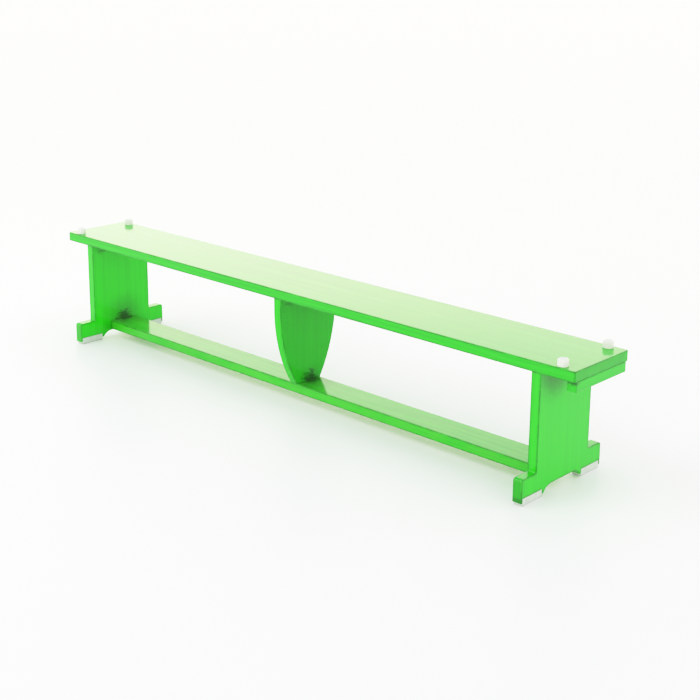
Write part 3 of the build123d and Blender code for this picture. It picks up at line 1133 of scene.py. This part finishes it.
def make_pad_screws(fixings):
    """Makes the two screws under each foot pad."""
    low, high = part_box("foot_pad_screws")
    half_pitch = high.y - fixings.head_diameter / 2 - centre("foot_pad_right_back").y
    places = []
    for node in PAD_NODES:
        middle = centre(node)
        for y in (middle.y - half_pitch, middle.y + half_pitch):
            places.append(Vector((middle.x, y, low.z)))
    sizes = screw_sizes(fixings, high.z - low.z)
    make_threaded("foot_pad_screws", sizes, places, UPSIDE_DOWN)


def make_buffer_screws(fixings):
    """Makes the pan-headed screw in each buffer."""
    low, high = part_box("buffer_screws")
    under_head = high.z - fixings.pan_height
    places = [Vector((*centre(node).xy, under_head)) for node in BUFFER_NODES]
    sizes = screw_sizes(fixings, under_head - low.z)
    sizes["Head Diameter"] = fixings.pan_diameter
    sizes["Under Head Diameter"] = fixings.pan_diameter
    sizes["Head Top"] = fixings.pan_height
    sizes["Head Underside"] = 0.0
    sizes["Head Rounding"] = PAN_ROUNDING_SHARE * fixings.pan_height
    make_threaded("buffer_screws", sizes, places, ALONG_X)


class BENCH_OT_make_screws(bpy.types.Operator):
    """Make the screws of the batten, the foot pads and the buffers"""

    bl_idname = "bench.make_screws"
    bl_label = "Make Screws"

    def execute(self, context):
        fixings = context.scene.bench_fixings
        make_batten_screws(fixings)
        make_pad_screws(fixings)
        make_buffer_screws(fixings)
        return {"FINISHED"}


# Dowels

LYING_ALONG_X = (0, math.pi / 2, 0)
CHAMFER = MILLIMETRE
FLUTE_DEPTH = 0.3 * MILLIMETRE
SEAT_DOWEL_COUNT = 3
RAIL_DOWEL_COUNT = 2
DARK_BEECH = (0.55, 0.36, 0.19)
PALE_BEECH = (0.78, 0.60, 0.38)
BEECH_FLECK = (0.38, 0.22, 0.11)
BEECH_STREAK_REPEATS = (300.0, 900.0, 120.0)
BEECH_ROUGHNESS = (0.6, 0.75)
FLECK_REPEATS = (2500.0, 2500.0, 400.0)
FLECK_SPAN = (0.6, 0.75)
FLECK_STRENGTH = 0.4
FLECK_DEPTH = 0.00008


def dowel_tree(sizes):
    """A fluted dowel with chamfered ends, centred on its place and lying along Z."""
    tree, given = new_geometry_tree("Fluted dowel", sizes)
    radius = half(tree, given["Diameter"])
    end = half(tree, given["Length"])
    shoulder = calculate(tree, "SUBTRACT", end, given["Chamfer"])
    heights = [negative(tree, end), negative(tree, shoulder), shoulder, end]
    line = line_through(tree, [combine(tree, 0.0, 0.0, height) for height in heights])
    path = result(tree, "GeometryNodeMeshToCurve", {"Mesh": line})
    end_share = calculate(tree, "SUBTRACT", 1.0, calculate(tree, "DIVIDE", given["Chamfer"], radius))
    widths = index_choice(tree, "FLOAT", [end_share, 1.0, 1.0, end_share])
    inner = calculate(tree, "SUBTRACT", radius, given["Flute Depth"])
    star = {"Points": given["Flutes"], "Inner Radius": inner, "Outer Radius": radius}
    section = result(tree, "GeometryNodeCurveStar", star)
    swept = {"Curve": path, "Profile Curve": section, "Scale": widths, "Fill Caps": True}
    return place_copies(tree, given, result(tree, "GeometryNodeCurveToMesh", swept))


def plain_beech():
    """Unfinished beech with fine flecks along its grain."""
    material, tree, shader = new_material("plain_dowel")
    point = object_point(tree)
    streaks = speckle(tree, point, BEECH_STREAK_REPEATS, detail=3.0)
    flecks = speckle(tree, point, FLECK_REPEATS, detail=1.0)
    colour = blend_colours(tree, streaks, rgba(DARK_BEECH), rgba(PALE_BEECH))
    fleck = ramp(tree, flecks, *FLECK_SPAN, 0.0, FLECK_STRENGTH)
    surface = {
        "Base Color": blend_colours(tree, fleck, colour, rgba(BEECH_FLECK)),
        "Roughness": ramp(tree, streaks, *MOST_NOISE, *BEECH_ROUGHNESS),
        "Normal": relief(tree, flecks, FLECK_DEPTH),
    }
    fill_inputs(tree, shader, surface)
    return material


def dowel_places(nodes, count, radius):
    """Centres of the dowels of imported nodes, each node's in a row across the bench."""
    places = []
    for node in nodes:
        low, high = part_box(node)
        middle = (low + high) / 2
        start = Vector((middle.x, low.y + radius, middle.z))
        end = Vector((middle.x, high.y - radius, middle.z))
        places += row(start, end, count)
    return places


class BENCH_OT_make_dowels(bpy.types.Operator):
    """Make the fluted dowels that join the boards"""

    bl_idname = "bench.make_dowels"
    bl_label = "Make Dowels"

    def execute(self, context):
        fixings = context.scene.bench_fixings
        radius = fixings.dowel_diameter / 2
        sizes = {
            "Diameter": fixings.dowel_diameter,
            "Length": extent("seat_dowels_left", 2),
            "Chamfer": CHAMFER,
            "Flute Depth": FLUTE_DEPTH,
            "Flutes": fixings.dowel_flutes,
        }
        tree = dowel_tree(sizes)
        beech = plain_beech()
        nodes = [*SEAT_DOWEL_NODES, "rail_dowels_centre"]
        upright = dowel_places(SEAT_DOWEL_NODES, SEAT_DOWEL_COUNT, radius)
        upright += dowel_places(["rail_dowels_centre"], RAIL_DOWEL_COUNT, radius)
        make_piece("upright_dowels", tree, sizes, upright, ALONG_X, beech, nodes)
        nodes = RAIL_DOWEL_NODES
        level = dowel_places(nodes, RAIL_DOWEL_COUNT, radius)
        make_piece("rail_end_dowels", tree, sizes, level, LYING_ALONG_X, beech, nodes)
        return {"FINISHED"}


# Studio

FLOOR_SIDES = 64
FLOOR_DULL = (0.915, 0.915, 0.93)
FLOOR_PALE = (0.935, 0.935, 0.95)
FLOOR_REPEATS = 1.5
KEY_SIZE = 2.5
KEY_PLACE = Vector((-1.5, -2.5, 3.2))
SENSOR_WIDTH = 36.0

# Height of a direction, from 0 when level to 1 straight up, where the walls' light starts to fade
# and where the ceiling's is full
WALL_FADES = 0.18
CEILING_FULL = 0.55

# Light that prints as white, and the tone that each lesser light prints as
WHITE_LIGHT = 2.5
FILM_RESPONSE = (
    (0.25, 0.25),
    (0.5, 0.5),
    (0.8, 0.735),
    (1.1, 0.865),
    (1.3, 0.93),
    (1.5, 0.98),
    (1.65, 1.0),
)
COMBINED_CURVE = 3


def pale_floor():
    """Nearly white, smooth floor with faint blotches."""
    material, tree, shader = new_material("studio_floor")
    blotch = speckle(tree, object_point(tree), FLOOR_REPEATS, detail=3.0)
    colour = blend_colours(tree, blotch, rgba(FLOOR_DULL), rgba(FLOOR_PALE))
    surface = {"Base Color": colour, "Roughness": 0.45, "Specular IOR Level": 0.3}
    fill_inputs(tree, shader, surface)
    return material


def make_floor(radius):
    """A round floor at the height the pads stand on."""
    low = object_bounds()[0]
    mesh = bpy.data.meshes.new("floor")
    rim = []
    for side in range(FLOOR_SIDES):
        angle = math.tau * side / FLOOR_SIDES
        rim.append((radius * math.cos(angle), radius * math.sin(angle), low.z))
    mesh.from_pydata(rim, [], [list(range(FLOOR_SIDES))])
    mesh.materials.append(pale_floor())
    floor = bpy.data.objects.new("floor", mesh)
    bpy.context.scene.collection.objects.link(floor)
    floor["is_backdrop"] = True


def make_surroundings(studio):
    """White walls that fade to a dimmer ceiling."""
    world = bpy.data.worlds.new("studio")
    world.use_nodes = True
    tree = world.node_tree
    tree.nodes.clear()
    direction = add_node(tree, "ShaderNodeTexCoord").outputs["Generated"]
    height = component(tree, direction, "Z")
    share = ramp(tree, height, WALL_FADES, CEILING_FULL)
    light = blend_colours(tree, share, rgba(studio.wall_light), rgba(studio.ceiling_light))
    background = result(tree, "ShaderNodeBackground", {"Color": light})
    add_node(tree, "ShaderNodeOutputWorld", {"Surface": background})
    bpy.context.scene.world = world


def make_key_light(studio):
    """One large soft light, high on the left of the bench's front."""
    light = bpy.data.lights.new("key", "AREA")
    light.shape = "SQUARE"
    light.size = KEY_SIZE
    light.energy = studio.key_power
    lamp = bpy.data.objects.new("key", light)
    lamp.location = KEY_PLACE
    lamp.rotation_euler = (-KEY_PLACE).to_track_quat("-Z", "Y").to_euler()
    bpy.context.scene.collection.objects.link(lamp)


def make_camera(studio):
    """The camera, beyond the bench's right front corner and about a metre above its seat."""
    lens = bpy.data.cameras.new("camera")
    lens.lens = studio.camera_lens
    lens.sensor_width = SENSOR_WIDTH
    lens.shift_y = -studio.camera_drop
    camera = bpy.data.objects.new("camera", lens)
    heading = Matrix.Rotation(studio.camera_heading, 4, "Z")
    dip = Matrix.Rotation(math.pi / 2 - studio.camera_dip, 4, "X")
    roll = Matrix.Rotation(studio.camera_roll, 4, "Z")
    camera.matrix_world = Matrix.Translation(studio.camera_place) @ heading @ dip @ roll
    bpy.context.scene.collection.objects.link(camera)
    bpy.context.scene.camera = camera


def set_response(view):
    """A film-like response: the light that prints white is well above a sheet of paper's, and tones
    near it are drawn together."""
    view.view_transform = "Standard"
    view.use_curve_mapping = True
    mapping = view.curve_mapping
    mapping.white_level = (WHITE_LIGHT, WHITE_LIGHT, WHITE_LIGHT)
    for light, tone in FILM_RESPONSE:
        mapping.curves[COMBINED_CURVE].points.new(light / WHITE_LIGHT, tone)
    mapping.update()


class BENCH_OT_set_stage(bpy.types.Operator):
    """Set the floor, the light and the camera"""

    bl_idname = "bench.set_stage"
    bl_label = "Set Stage"

    def execute(self, context):
        studio = context.scene.bench_studio
        make_floor(studio.floor_radius)
        make_surroundings(studio)
        make_key_light(studio)
        make_camera(studio)
        set_response(context.scene.view_settings)
        return {"FINISHED"}


# Panel and registration

SETTINGS = {
    "bench_lacquer": BenchLacquer,
    "bench_buffers": BenchBuffers,
    "bench_fixings": BenchFixings,
    "bench_studio": BenchStudio,
}
OPERATORS = (
    BENCH_OT_set_stage,
    BENCH_OT_stain_boards,
    BENCH_OT_finish_pads,
    BENCH_OT_make_buffers,
    BENCH_OT_make_screws,
    BENCH_OT_make_dowels,
)


class BENCH_PT_looks(bpy.types.Panel):
    """Lists the bench's settings and the operators that use them"""

    bl_label = "Balance Bench"
    bl_idname = "BENCH_PT_looks"
    bl_space_type = "VIEW_3D"
    bl_region_type = "UI"
    bl_category = "Bench"

    def draw(self, context):
        for setting, group in SETTINGS.items():
            box = self.layout.box()
            values = getattr(context.scene, setting)
            for name in group.__annotations__:
                box.prop(values, name)
        for operator in OPERATORS:
            self.layout.operator(operator.bl_idname)


CLASSES = (*SETTINGS.values(), *OPERATORS, BENCH_PT_looks)


def register():
    for item in CLASSES:
        bpy.utils.register_class(item)
    for setting, group in SETTINGS.items():
        setattr(bpy.types.Scene, setting, PointerProperty(type=group))


def unregister():
    for setting in SETTINGS:
        delattr(bpy.types.Scene, setting)
    for item in reversed(CLASSES):
        bpy.utils.unregister_class(item)


def main():
    """Makes the looks."""
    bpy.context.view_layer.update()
    register()
    bpy.ops.bench.set_stage()
    bpy.ops.bench.stain_boards()
    bpy.ops.bench.finish_pads()
    bpy.ops.bench.make_buffers()
    bpy.ops.bench.make_screws()
    bpy.ops.bench.make_dowels()


if __name__ == "__main__":
    main()
